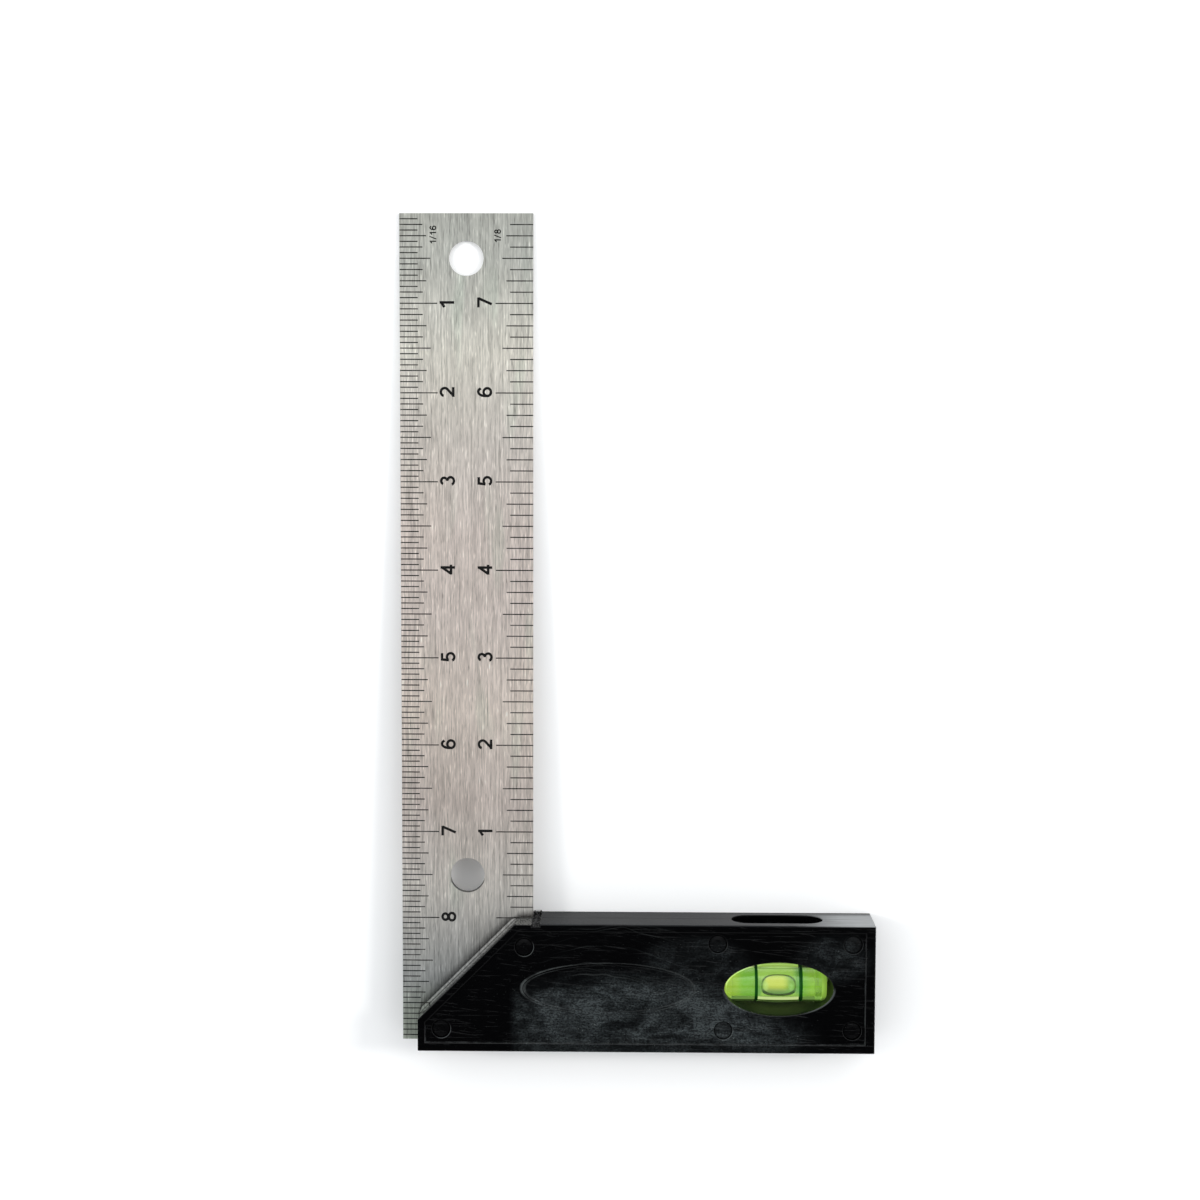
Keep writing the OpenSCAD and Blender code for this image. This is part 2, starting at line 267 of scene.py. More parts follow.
def blob(x, y, centre, half, soft):
    """1 inside an ellipse, fading to 0 outside it over a band of width soft."""
    distance = oval(x - centre[0], y - centre[1], *half)
    return distance.step(1.0 + soft / 2, 1.0 - soft / 2)


def in_window(x, y):
    """Place on the face, in half widths of the window from its middle."""
    return (x - WINDOW_X) / WINDOW_HALF_X, (y - WINDOW_Y) / WINDOW_HALF_Y


# ------------------------------------------------------------------ meshes
def new_object(name, verts, faces, smooth=True):
    mesh = bpy.data.meshes.new(name)
    mesh.from_pydata(verts, [], faces)
    mesh.update()
    obj = bpy.data.objects.new(name, mesh)
    scene.collection.objects.link(obj)
    work = bmesh.new()
    work.from_mesh(mesh)
    bmesh.ops.remove_doubles(work, verts=work.verts, dist=1e-7)
    bmesh.ops.recalc_face_normals(work, faces=work.faces)
    work.to_mesh(mesh)
    work.free()
    for face in mesh.polygons:
        face.use_smooth = smooth
    return obj


def modify(obj, name, kind, **settings):
    modifier = obj.modifiers.new(name, kind)
    for key, value in settings.items():
        setattr(modifier, key, value)


# ------------------------------------------------------------------ brushed blade
# Place along the blade, from 0 at y = -40 to 1 at y = 205, and colour there:
# warm in the middle, cooler towards both ends, and darker there with painted shade.
BLADE_TINT_AND_SHADE = [
    (0.04, (0.46, 0.50, 0.43)),
    (0.09, (0.45, 0.46, 0.45)),
    (0.20, (0.67, 0.63, 0.58)),
    (0.30, (0.65, 0.57, 0.52)),
    (0.41, (0.73, 0.64, 0.57)),
    (0.52, (0.66, 0.58, 0.53)),
    (0.62, (0.65, 0.57, 0.52)),
    (0.73, (0.62, 0.57, 0.52)),
    (0.83, (0.67, 0.64, 0.57)),
    (0.94, (0.48, 0.48, 0.44)),
    (0.99, (0.44, 0.44, 0.40))]


def steel_colour(mat, flat, y, main, hair):
    """The brushed steel's colour, and the grain that also drives its roughness."""
    streaks = mat.noise(flat, (1.5, 0.022, 1), (5, 90, 0), detail=3.0, rough=0.7)
    bands = mat.noise(flat, (0.20, 0.012, 1), (11, 3, 0))
    dashes = mat.noise(flat, (2.4, 0.24, 1), (57, 21, 0), detail=1.0)
    grain = main * 0.34 + hair * 0.32 + streaks * 0.34

    # large soft patches: some duller, some cooler
    # tint along the blade, with painted shade towards both ends
    tint = mat.ramp(y.line(-40.0, 205.0), BLADE_TINT_AND_SHADE)
    patch = mat.noise(flat, (0.055, 0.022, 1), (2, 5, 0), detail=1.0)
    tint = mat.mix(patch.step(0.35, 0.7, to=(0.0, 0.22)), tint, (0.92, 0.90, 0.85), "MULTIPLY")
    cool = mat.noise(flat, (0.16, 0.03, 1), (71, 15, 0), detail=1.0)
    tint = mat.mix(cool.step(0.56, 0.75, to=(0.0, 0.5)), tint, (0.90, 1.0, 0.95), "MULTIPLY")

    # brightness: grain and bands, with bright and dark dashes
    brightness = grain.line(0.30, 0.70, to=(0.38, 1.62)) * bands.line(0.3, 0.7, to=(0.94, 1.06))
    brightness = brightness + dashes.step(0.60, 0.76) * 0.46 - dashes.step(0.40, 0.24) * 0.32
    tone = mat.node("ShaderNodeCombineColor", {0: brightness, 1: brightness, 2: brightness})
    colour = mat.mix(1.0, tint, tone, "MULTIPLY")

    # a few darker handling marks
    mark = mat.noise(flat, (0.9, 0.07, 1), (17, 44, 0), detail=5.0, rough=0.7)
    return mat.mix(mark.step(0.60, 0.72) * 0.25, colour, (0.20, 0.20, 0.18)), grain


def foot_of_handle(mat, colour, flat, x, y):
    """Painted shadow on the blade beside the handle, with a thin painted highlight in it and a
    painted dark contact line at its foot.
    """
    # distance from the mitre's foot, then from the handle's inner edge, each kept to its own
    # stretch by adding 3 mm beyond it
    foot = abs((y - x - MITRE_X) * DIAGONAL) + y.step(-0.6, 1.6, to=(0.0, 3.0))
    foot = foot + x.step(handle_left + 0.6, handle_left - 1.4, to=(0.0, 3.0))
    foot = foot.min(abs(y) + 0.5 + x.step(-MITRE_X + 1.0, -MITRE_X - 1.4, to=(0.0, 3.0)))

    shade_breakup = mat.noise(flat, (1.6, 1.6, 1), (23, 9, 0), detail=3.0, rough=0.7)
    # painted shadow beside the handle, broken up by noise
    shade = foot.line(0.85, 2.9, to=(0.84, 0.0)) * foot.step(0.60, 0.85)
    shade = shade * shade_breakup.step(0.3, 0.6, to=(0.82, 1.05))
    # painted highlight: a thin bright line close to the foot
    foot_highlight = abs(foot - 0.38).step(0.26, 0.12) * shade_breakup.step(0.38, 0.60, to=(0.06, 0.78))
    foot_highlight = foot_highlight * x.step(handle_left + 1.0, handle_left + 4.0)
    return mat.paint(colour,
                     (shade, grey(0.012)),
                     (foot_highlight, (0.88, 0.87, 0.84)),
                     # painted dark contact line at the very foot of the handle
                     (foot.step(0.16, 0.06, to=(0.0, 0.6)), grey(0.05)))


def blade_material():
    mat = Mat("blade_brushed_steel")
    point = mat.point()
    x, y, z = mat.split(point)
    flat = mat.stretch(point, (1, 1, 0.0))

    # grinding grain along Y: main streaks and finer hairs
    main = mat.noise(flat, (2.0, 0.11, 1), rough=0.6)
    hair = mat.noise(flat, (5.2, 0.24, 1), (31, 7, 0), detail=3.0, rough=0.65)
    colour, grain = steel_colour(mat, flat, y, main, hair)
    colour = foot_of_handle(mat, colour, flat, x, y)

    # painted shade darkens the walls of the holes, most of all nearest the handle
    normal_z = mat.split(mat.node("ShaderNodeNewGeometry", output="True Normal"))[2]
    wall = (abs(normal_z) < 0.5) * abs(x + blade_half_width).step(5.6, 5.3)
    hole_y = y - NEAR_HOLE_Y
    hole_radius = length(x + blade_half_width, hole_y)
    # painted shadow along the lower rim of the hole nearest the handle
    near_hole_shadow = hole_radius.step(5.25, 5.12) * hole_y.step(-0.5, -2.5)
    colour = mat.paint(colour,
                       (wall * y.step(60.0, 150.0, to=(0.95, 0.0)), grey(0.03)),
                       (near_hole_shadow * 0.85, grey(0.05)))

    # ink on the floors of the etched lines, just under the face, worn towards both sides
    ink = (z < face_z - 0.04) * (z > face_z - 0.2) * (normal_z > 0.5)
    wear = mat.noise(flat, (0.30, 1.1, 1), (3, 1, 0), rough=0.6)
    thin = wear.step(0.46, 0.66, to=(0.0, 0.35)) * abs(x + BLADE_MIDDLE).step(8.9, 9.6)
    colour = mat.mix(ink, colour, mat.mix(thin, grey(0.006), (0.17, 0.165, 0.15)))

    metal = 1.0 - ink
    return mat.surface(mat.principled(
        Base_Color=colour,
        Metallic=metal,
        Roughness=grain.line(0.3, 0.7, to=(0.47, 0.37)) + ink * 0.2,
        Anisotropic=metal * 0.78,
        Tangent=mat.node("ShaderNodeCombineXYZ", {0: 1.0}),
        Normal=mat.bump(main * 0.7 + hair * 0.5, depth=0.020, strength=0.5),
        Specular_IOR_Level=ink.line(0.0, 1.0, to=(0.5, 0.12))))


blade_material().give(nodes["blade"])


# ------------------------------------------------------------------ black handle
def pin_marks():
    """Middle of each pin in mm, and how bright the painted highlight on the rim of its hole is.
    """
    marks = []
    for name, shine in PIN_SHINE.items():
        low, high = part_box(name)
        marks.append(((low.x + high.x) * 500, (low.y + high.y) * 500, shine))
    return marks


def handle_scratches(mat, shifted):
    """Fine rubbed lines along the handle, and a second set 8 degrees off it."""
    lines = mat.noise(shifted, (0.045, 3.2, 3.2), detail=4.0, rough=0.65)
    tilted = mat.node("ShaderNodeVectorRotate", {"Vector": shifted, "Angle": math.radians(8)},
                      rotation_type="Z_AXIS")
    crossing = mat.noise(tilted, (0.09, 4.0, 4.0), (9, 3, 0), detail=3.0, rough=0.6)
    return lines.step(0.60, 0.72).max(crossing.step(0.63, 0.73))


def handle_wipe(mat, shifted, x, y):
    """Curved scuffs, round a point below the left part of the handle."""
    arc = ((x - 18.0) ** 2.0 + ((y + 34.0) * 1.7) ** 2.0).sqrt()
    arc = arc + mat.noise(shifted, (0.05, 0.05, 0.05), (7, 3, 0)) * 14.0
    round_it = mat.node("ShaderNodeCombineXYZ", {0: arc * 0.9, 1: x * 0.02})
    wipe = mat.noise(round_it, detail=3.0, rough=0.7).step(0.56, 0.74)
    return wipe * blob(x, y, centre=(22, -9), half=(26, 9), soft=0.8)


def handle_haze_and_sheen(mat, shifted, x, y):
    """Hazy film, partly real haze and partly painted reflection of the bright surroundings:
    warped, streaked and speckled, kept to a few patches, most over the lower part of the panel.
    """
    flow = mat.noise(shifted, (0.05, 0.08, 0.05), (4, 11, 0), distort=1.4)
    cloud = mat.noise(shifted, (0.11, 0.17, 0.11), (1, 2, 0), detail=4.0, rough=0.62,
                      distort=0.9)
    where = blob(x, y, centre=(30, -33.5), half=(43, 17), soft=0.6)
    where = where.max(blob(x, y, centre=(3, -32), half=(10, 8.5), soft=0.35))
    where = where.max(blob(x, y, centre=(87, -10), half=(9, 6), soft=0.9) * 0.42)
    where = where.max(blob(x, y, centre=(47, -12), half=(13, 7), soft=0.9) * 0.35)
    streak = mat.noise(shifted, (0.22, 1.6, 1.0), (5, 5, 0), detail=4.0, rough=0.7)
    speck = mat.noise(shifted, (1.5, 2.2, 2.0), (2, 4, 1), detail=3.0, rough=0.75)
    body = flow.step(0.36, 0.66, to=(0.12, 0.52)) + cloud.step(0.40, 0.68, to=(0.0, 0.55))
    body = body * streak.step(0.32, 0.66, to=(0.60, 1.25))
    body = body * speck.step(0.36, 0.62, to=(0.35, 1.55))
    # thinner at the left end and along the outer edge
    return where * body * x.step(-7.0, -3.5) * y.step(-36.0, -33.8, to=(0.40, 1.0))


def handle_dust(mat, shifted, film_and_sheen):
    """Pin-prick dust and pits, thickest in the haze."""
    pits = mat.node("ShaderNodeTexVoronoi", {"Vector": shifted, "Scale": 1.15},
                    output="Distance")
    patches = mat.noise(shifted, (0.5, 0.5, 0.5), (8, 8, 8)).step(0.48, 0.62)
    return pits.step(0.20, 0.05) * (patches * (film_and_sheen * 0.9 + 0.10))


def handle_highlights(mat, shifted, x, y, z):
    """Painted highlights on the panel's step, on an oval line and round the pin holes and the
    window.
    """
    # signed distance from the panel's step, which is 0 on it
    rim = ((handle_left + 2.25) - x).max(x - (handle_right - 2.9))
    rim = rim.max(((handle_bottom + 2.6) - y).max(y + 2.3))
    rim = rim.max((y - x - MITRE_X) * DIAGONAL + 2.25)
    # painted highlight along the panel's step: none beside the mitre but at its foot, and
    # little along the top of the panel
    kept = (y - x).step(1.0, 0.0).max(y.step(-29.5, -30.5))
    kept = kept * y.step(-3.2, -4.2, to=(0.12, 1.0))
    patchy = mat.noise(shifted, (0.28, 0.28, 0.28), (13, 6, 2), detail=4.0, rough=0.65)
    wear = abs(rim).step(0.20, 0.05) * patchy.step(0.40, 0.62, to=(0.12, 1.0)) * kept

    # painted highlights on two nested oval lines over the left part of the handle
    ovals = []
    for half_x, half_y, strength in ((25.1, 7.6, 1.0), (24.2, 6.8, 0.6)):
        off_line = abs(oval(x - 22.0, y + 18.9, half_x, half_y) - 1.0) * half_y
        ovals.append(off_line.step(0.17, 0.03) * strength)
    shown = x.step(30.0, 42.0) * y.step(-18.0, -23.0, to=(0.2, 0.9))
    shown = x.step(16.0, 2.0, to=(0.25, 1.0)).max(shown)
    lines = ovals[0].max(ovals[1]) * shown * patchy.step(0.34, 0.60, to=(0.30, 1.0))
    wear = (wear * 0.55).max(lines)

    # painted highlight on the lower right of each pin hole's rim
    for pin_x, pin_y, shine in pin_marks():
        from_x, from_y = x - pin_x, y - pin_y
        ring = abs(length(from_x, from_y) - PIN_RIM).step(0.22, 0.06)
        lit = (from_x * 0.7 - from_y * 0.7).step(0.2, 2.2, to=(0.0, shine))
        wear = wear.max(ring * lit)

    # painted highlight on the window's rim below its middle, more on the right than on the left
    side_x, side_y = in_window(x, y)
    off_rim = abs(length(side_x, side_y) - 1.02) * WINDOW_HALF_Y
    shown = side_x.step(0.35, 0.72).max(side_x.step(-0.45, -0.75, to=(0.0, 0.35)))
    window = off_rim.step(0.24, 0.06) * shown * side_y.step(0.12, -0.15)
    return wear.max(window * 0.9) * z.step(PANEL_Z - 0.25, PANEL_Z - 0.10)


def window_inside(mat, point, x, y, z):
    """Where the window's walls are, and how strongly painted green light from the vial glows on
    them.
    """
    side_x, side_y = in_window(x, y)
    inside = length(side_x, side_y).step(1.03, 1.015)
    hole = inside * (z.step(PANEL_Z - 0.25, PANEL_Z - 0.7) * z.step(0.9, 1.4))
    uneven = mat.noise(point, (0.10, 1.6, 1.6), (6, 0, 2), detail=3.0)
    glow = z.step(PANEL_Z - 0.6, PANEL_Z - 3.6, to=(0.25, 1.0))
    glow = glow * uneven.step(0.3, 0.7, to=(0.6, 1.25))
    glow = glow * abs(side_x).step(0.80, 0.15, to=(0.10, 1.0))
    glow = glow * z.step(PANEL_Z - 0.9, PANEL_Z - 2.0, to=(0.3, 1.0))
    return hole, glow * z.step(2.5, 7.5, to=(0.10, 1.0))


def handle_inner_edge(mat, shifted, torn, cut, x, y, z):
    """Colour and amount of the dull skin on the inner edge face and in the relief cut, with
    painted reflection and painted shade in it.
    """
    on_side = y.step(-0.32, -0.12)
    rub = mat.noise(shifted, (0.06, 1.0, 1.3), (3, 0, 7), detail=4.0, rough=0.65)
    # painted reflection, lighter towards the far end
    far_end_sheen = x.step(74.0, 95.0) * rub.step(0.3, 0.7, to=(0.7, 1.2))
    far_end_sheen = far_end_sheen * z.step(0.8, 6.0, to=(0.15, 1.1))
    # painted shade along the rear edge, where the handle meets the floor
    rear_edge_shade = z.step(1.6, 0.6) * on_side
    stub = x.step(0.05, -0.05) * on_side            # left of the inside corner
    black = (0.004, 0.004, 0.005)
    colour = mat.paint(
        mat.mix(rub.step(0.42, 0.68), black, (0.03, 0.033, 0.035)),
        (far_end_sheen, (0.52, 0.54, 0.55)),
        (rear_edge_shade, black),
        (stub * torn.step(0.35, 0.60, to=(0.15, 1.0)), (0.20, 0.20, 0.19)),
        (cut, mat.mix(torn.step(0.46, 0.62), grey(0.004), grey(0.17))))
    amount = on_side * x.step(40.0, 90.0, to=(0.68, 0.48))
    return colour, amount.max((rear_edge_shade * 0.85).max(cut * 0.92))


def handle_material(name, seed=0.0, dull=0.0):
    """Glossy black plastic. seed moves the marks, dull is added to the roughness."""
    mat = Mat(name)
    point = mat.point()
    x, y, z = mat.split(point)
    shifted = mat.stretch(point, (1, 1, 1), (seed, seed * 0.7, 0))

    scratches = handle_scratches(mat, shifted)
    wipe = handle_wipe(mat, shifted, x, y)
    film_and_sheen = handle_haze_and_sheen(mat, shifted, x, y)
    dust = handle_dust(mat, shifted, film_and_sheen)
    wear = handle_highlights(mat, shifted, x, y, z)
    hole, glow = window_inside(mat, point, x, y, z)
    # the relief cut at the inside corner is rough and dull
    cut = x.step(-0.35, -0.15) * x.step(2.5, 2.25) * y.step(-1.1, -0.35)
    torn = mat.noise(point, (2.2, 2.2, 0.7), (3, 9, 0), detail=3.0, rough=0.7)

    more_on_right = x.step(20.0, 62.0, to=(0.08, 1.0))
    colour = mat.paint(
        (0.0007, 0.0007, 0.0009),
        # haze, partly painted reflection over the lower part of the panel
        (film_and_sheen * 0.95, (0.033, 0.040, 0.042)),
        (scratches * more_on_right * (film_and_sheen * 0.22 + 0.045), (0.14, 0.155, 0.155)),
        (wipe * 0.10, (0.16, 0.18, 0.18)),
        (dust * 0.8, (0.16, 0.18, 0.17)),
        # painted highlights on the panel's step, the oval lines, the pin holes and the window's
        # rim
        (wear * 0.34, (0.15, 0.165, 0.165)),
        # painted green light from the vial tints the window's walls
        (hole, (0.006, 0.012, 0.004)))
    rough = film_and_sheen.line(0.0, 1.0, to=(0.13 + dull, 0.33 + dull)) + scratches * 0.14
    rough = rough + hole * 0.35 + cut * 0.45

    # soft waviness, then scratches and grain, then the torn cut
    waves = mat.noise(shifted, scale=0.55)
    grain = mat.noise(shifted, scale=6.0, rough=0.6)
    normal = mat.bump(waves, depth=0.02, strength=0.35)
    normal = mat.bump(scratches * -1.0 + grain * 0.25, depth=0.012, strength=0.6, under=normal)
    normal = mat.bump(torn * cut, depth=0.5, strength=1.0, under=normal)
    gloss = mat.principled(
        Base_Color=colour,
        Roughness=rough,
        Normal=normal,
        IOR=1.5,
        Specular_IOR_Level=0.32 - (hole * 0.20 + cut * 0.20),
        # painted green glow from the vial on the window's walls
        Emission_Color=(0.16, 0.26, 0.05),
        Emission_Strength=hole * glow * 0.085)

    dull_colour, dullness = handle_inner_edge(mat, shifted, torn, cut, x, y, z)
    matt = mat.node("ShaderNodeBsdfDiffuse", {"Color": dull_colour})
    return mat.surface(mat.node("ShaderNodeMixShader", {0: dullness, 1: gloss, 2: matt}))


handle_material("handle_gloss_black").give(nodes["handle_front"], nodes["handle_rear"])
pins = [obj for name, obj in nodes.items() if name.startswith("pin_")]
handle_material("pin_black", seed=37.0, dull=0.03).give(*pins)


# ------------------------------------------------------------------ rounded handle edges
CONVEX_SIGN = 1.0               # sign of the edge angle at a convex edge
CONVEX_ANGLE = 38               # degrees, least angle of an edge that is rounded
SHARP_ANGLE = 42                # degrees, least angle of an edge that is shaded sharp


def new_geometry_graph(name):
    """An empty geometry-nodes group, with its input and a function that sets its output."""
    tree = bpy.data.node_groups.new(name, "GeometryNodeTree")
    for way in ("INPUT", "OUTPUT"):
        tree.interface.new_socket("Geometry", in_out=way, socket_type="NodeSocketGeometry")
    graph = Graph(tree)
    source = graph.node("NodeGroupInput")
    end = tree.nodes.new("NodeGroupOutput")
    return graph, source, lambda result: graph.put(end.inputs[0], result)


def edge_radii():
    """Marks the convex edges that show with how far each is rounded."""
    graph, source, finish = new_geometry_graph("edge_radii")
    angle = graph.node("GeometryNodeInputMeshEdgeAngle", output="Signed Angle")
    place = graph.split(graph.node("GeometryNodeInputPosition"))
    x, y, z = [part * 1000.0 for part in place]

    face = (z > 16.4).max(z < 0.1)
    line = (z > 16.1) * (z < 16.4)                  # just under the front face
    panel = ((z > PANEL_Z - 0.05) * (z < PANEL_Z + 0.05)).max((z > 0.55) * (z < 0.65))
    side_x, side_y = in_window(x, y)
    window = (side_x * side_x + side_y * side_y) < 1.05
    side = (y > -0.01).max(y < -37.49).max(x > 98.99).max(x < -33.09)
    joint = (abs(z - HALVES_Z) < 0.1) * side
    corner = (x > -0.3) * (x < 2.3) * (y > -0.7) * (z > 0.4)
    mitre = abs(y - x - MITRE_X) < 0.1

    # shares of the full radius, then what is taken off where two regions meet
    share = face.max(line * 0.36).max(panel * 0.42).max(panel * window * 0.95).max(side * 0.8)
    for region, less in ((joint, 0.60), (corner, 0.75), (mitre, 0.55)):
        share = share * (1.0 - region * less)
    convex = (angle * CONVEX_SIGN) > math.radians(CONVEX_ANGLE)
    finish(graph.node("GeometryNodeStoreNamedAttribute", {
        "Name": "bevel_weight_edge", "Geometry": source, "Value": share * convex},
        data_type="FLOAT", domain="EDGE"))
    return graph.tree


def sharp_by_angle():
    graph, source, finish = new_geometry_graph("sharp_by_angle")
    angle = graph.node("GeometryNodeInputMeshEdgeAngle", output="Unsigned Angle")
    finish(graph.node("GeometryNodeSetShadeSmooth", {
        "Geometry": source, "Selection": angle > math.radians(SHARP_ANGLE),
        "Shade Smooth": False}, domain="EDGE"))
    return graph.tree


radii_tree, sharp_tree = edge_radii(), sharp_by_angle()


def moulded(obj):
    """Welds the frame's triangles back into flats and rounds the edges that show."""
    modify(obj, "weld", "WELD", merge_threshold=2e-6)
    modify(obj, "planes", "DECIMATE", decimate_type="DISSOLVE", angle_limit=math.radians(0.6))
    modify(obj, "which_edges", "NODES", node_group=radii_tree)
    modify(obj, "radii", "BEVEL", width=EDGE_RADIUS * MM, segments=3, limit_method="WEIGHT",
           use_clamp_overlap=False, miter_outer="MITER_ARC")
    modify(obj, "sharp", "NODES", node_group=sharp_tree)
    modify(obj, "normals", "WEIGHTED_NORMAL", keep_sharp=True)
    for face in obj.data.polygons:
        face.use_smooth = True


for name in ("handle_front", "handle_rear"):
    moulded(nodes[name])


# ------------------------------------------------------------------ torn fins
# Thin fins of plastic at the rear (low z) of the relief cut, one on each side of it.
# name: first x, last x, then how far each station stands out along Y and its lift along Z
FINS = {
    "corner_fin_left": (0.03, 0.62, [
        (0.30, 0.0), (0.62, 0.2), (0.45, 0.1), (0.15, 0.0), (0.02, 0.0)]),
    "corner_fin_right": (1.50, 2.22, [
        (0.02, 0.0), (0.10, 0.1), (0.40, 0.1), (0.72, 0.25), (0.40, 0.05)])}


def fin(name, first_x, last_x, peaks):
    """A little wall on the inner edge with a ragged top."""
    last = len(peaks) - 1
    verts, faces = [], []
    for i, (out, lift) in enumerate(peaks):
        x = first_x + (last_x - first_x) * i / last
        section = ((-0.25, 0.30), (-0.25, 1.35 + lift), (out * 0.55, 1.15 + lift),
                   (out, 0.80 + lift), (out * 0.7, 0.42))
        verts += [(x * MM, y * MM, z * MM) for y, z in section]
    for i in range(last):
        for j in range(5):
            k = (j + 1) % 5
            faces.append((i * 5 + j, i * 5 + k, i * 5 + 5 + k, i * 5 + 5 + j))
    faces.append(tuple(range(4, -1, -1)))
    faces.append(tuple(last * 5 + j for j in range(5)))
    obj = new_object(name, verts, faces, smooth=False)
    modify(obj, "soft", "BEVEL", width=0.04 * MM, segments=2, angle_limit=math.radians(20))
    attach(obj, "square")
    return obj


fins = [fin(name, *shape) for name, shape in FINS.items()]
handle_material("torn_black", seed=11.0, dull=0.3).give(*fins)


# ------------------------------------------------------------------ vial: spirit and bubble
def spirit_profile():
    """(distance along X from the vial's middle, radius) from one end's pole to the other's."""
    left_end = spirit_lo.x * 1000 - vial_x
    right_end = spirit_hi.x * 1000 - vial_x
    reach = max(-left_end, right_end)

    def radius(along):
        bore = BORE_MIDDLE - (BORE_MIDDLE - BORE_END) * (along / reach) ** 2
        return bore - SPIRIT_GAP

    corner = SPIRIT_CORNER
    left, right = left_end + SPIRIT_END_GAP, right_end - SPIRIT_END_GAP
    left_flat, right_flat = radius(left) - corner, radius(right) - corner
    profile = [(left, 0.0)]
    profile += [(left, left_flat * k / 5) for k in range(1, 6)]
    for k in range(1, 7):
        turn = math.pi / 2 * k / 6
        profile.append((left + corner - corner * math.cos(turn),
                        left_flat + corner * math.sin(turn)))
    for k in range(1, 40):
        along = left + corner + (right - left - 2 * corner) * k / 40
        profile.append((along, radius(along)))
    for k in range(7):
        turn = math.pi / 2 * k / 6
        profile.append((right - corner + corner * math.sin(turn),
                        right_flat + corner * math.cos(turn)))
    profile += [(right, right_flat * k / 5) for k in range(4, 0, -1)]
    return profile + [(right, 0.0)]


def lathe_x(name, profile):
    """Turns a profile round the vial's axis. A radius of 0 makes a pole."""
    verts, faces, rows = [], [], []
    count = ROUND_SEGMENTS
    for along, radius in profile:
        x = (vial_x + along) * MM
        first = len(verts)
        if radius <= 1e-9:
            rows.append([first])
            verts.append((x, vial_y * MM, vial_z * MM))
            continue
        rows.append(list(range(first, first + count)))
        for i in range(count):
            turn = 2 * math.pi * i / count
            verts.append((x, (vial_y + radius * math.cos(turn)) * MM,
                          (vial_z + radius * math.sin(turn)) * MM))
    for row, following in zip(rows, rows[1:]):
        for i in range(count):
            j = (i + 1) % count
            if len(row) == 1:
                faces.append((row[0], following[i], following[j]))
            elif len(following) == 1:
                faces.append((row[i], row[j], following[0]))
            else:
                faces.append((row[i], row[j], following[j], following[i]))
    return new_object(name, verts, faces)


def bubble_mesh(name, rings=22):
    """A rounded-oblong lens lying against the top of the bore."""
    count = ROUND_SEGMENTS
    verts, faces = [], []

    def place(along, across, radius):
        """along and across are shares of the bubble's half length and half width."""
        turn = across * BUBBLE_HALF_WIDTH / BUBBLE_TOP
        return ((vial_x + along * BUBBLE_HALF_LENGTH) * MM,
                (vial_y + radius * math.sin(turn)) * MM,
                (vial_z + radius * math.cos(turn)) * MM)

    def outline(turn):
        x, y = math.cos(turn), math.sin(turn)
        power = BUBBLE_SQUARENESS
        scale = (abs(x) ** power + abs(y) ** power) ** (-1 / power)
        return x * scale, y * scale

    def add_face(face, upper):
        faces.append(face if upper else face[::-1])

    for upper in (True, False):
        pole = len(verts)
        verts.append(place(0, 0, BUBBLE_TOP if upper else BUBBLE_TOP - BUBBLE_DEPTH))
        for i in range(1, rings + 1):
            out = math.sin(math.pi / 2 * i / rings)
            if upper:
                drop = BUBBLE_DROP * max(0.0, 1 - math.sqrt(max(0.0, 1 - out ** 8)))
            else:
                belly = math.sqrt(max(0.0, 1 - out ** 2.4))
                drop = BUBBLE_DROP + (BUBBLE_DEPTH - BUBBLE_DROP) * belly
            for j in range(count):
                x, y = outline(2 * math.pi * j / count)
                verts.append(place(x * out, y * out, BUBBLE_TOP - drop))
        for j in range(count):
            k = (j + 1) % count
            add_face((pole, pole + 1 + j, pole + 1 + k), upper)
            for i in range(rings - 1):
                row = pole + 1 + i * count
                add_face((row + j, row + count + j, row + count + k, row + k), upper)
    return new_object(name, verts, faces)


spirit = lathe_x("spirit_column", spirit_profile())
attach(spirit, "square")
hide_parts("vial_spirit")

bubble = bubble_mesh("bubble_lens")
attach(bubble, "bubble")
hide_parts("vial_bubble")

# ------------------------------------------------------------------ vial: materials
# In these, along is measured along X and across along Y, in mm from the vial's middle.
SPIRIT_GLOW = 0.52              # emission strength of spirit, bubble and plugs


def spirit_material():
    mat = Mat("spirit_lime")
    point = mat.point()
    x, y, z = mat.split(point)
    along = x - vial_x
    across = y - vial_y
    between = abs(along).step(6.6, 6.2)             # between the rings
    left_edge = along.step(-4.6, -5.4) * between * across.step(2.6, 1.2)
    teal = between * along.step(3.6, 5.6) * across.step(-3.2, -1.0, to=(0.3, 1.0))
    shade = between * along.step(4.6, 5.9) * across.step(1.6, 2.8)
    low = across.step(-2.95, -3.45) * between
    warm = mat.noise(point, (0.12, 0.3, 0.3), (2, 0, 0)).step(0.42, 0.66)
    # yellow by the left plug, lime, then olive by the right plug; brighter between the rings;
    # the darker patches by the rings are painted shade
    colour = mat.paint(
        (0.42, 0.64, 0.080),
        (along.step(-13.2, -9.8), (0.225, 0.520, 0.070)),
        (along.step(7.0, 9.6), (0.285, 0.53, 0.066)),
        (between * 0.9, (0.40, 0.63, 0.140)),
        (left_edge * 0.8, (0.15, 0.40, 0.10)),
        (teal * 0.85, (0.14, 0.43, 0.12)),
        (shade * 0.7, (0.10, 0.25, 0.08)),
        (low * 0.5, (0.42, 0.58, 0.18)),
        (warm * 0.22, (0.34, 0.50, 0.08)))
    return mat.glowing(colour, Roughness=0.35, IOR=1.36, Specular_IOR_Level=0.15)


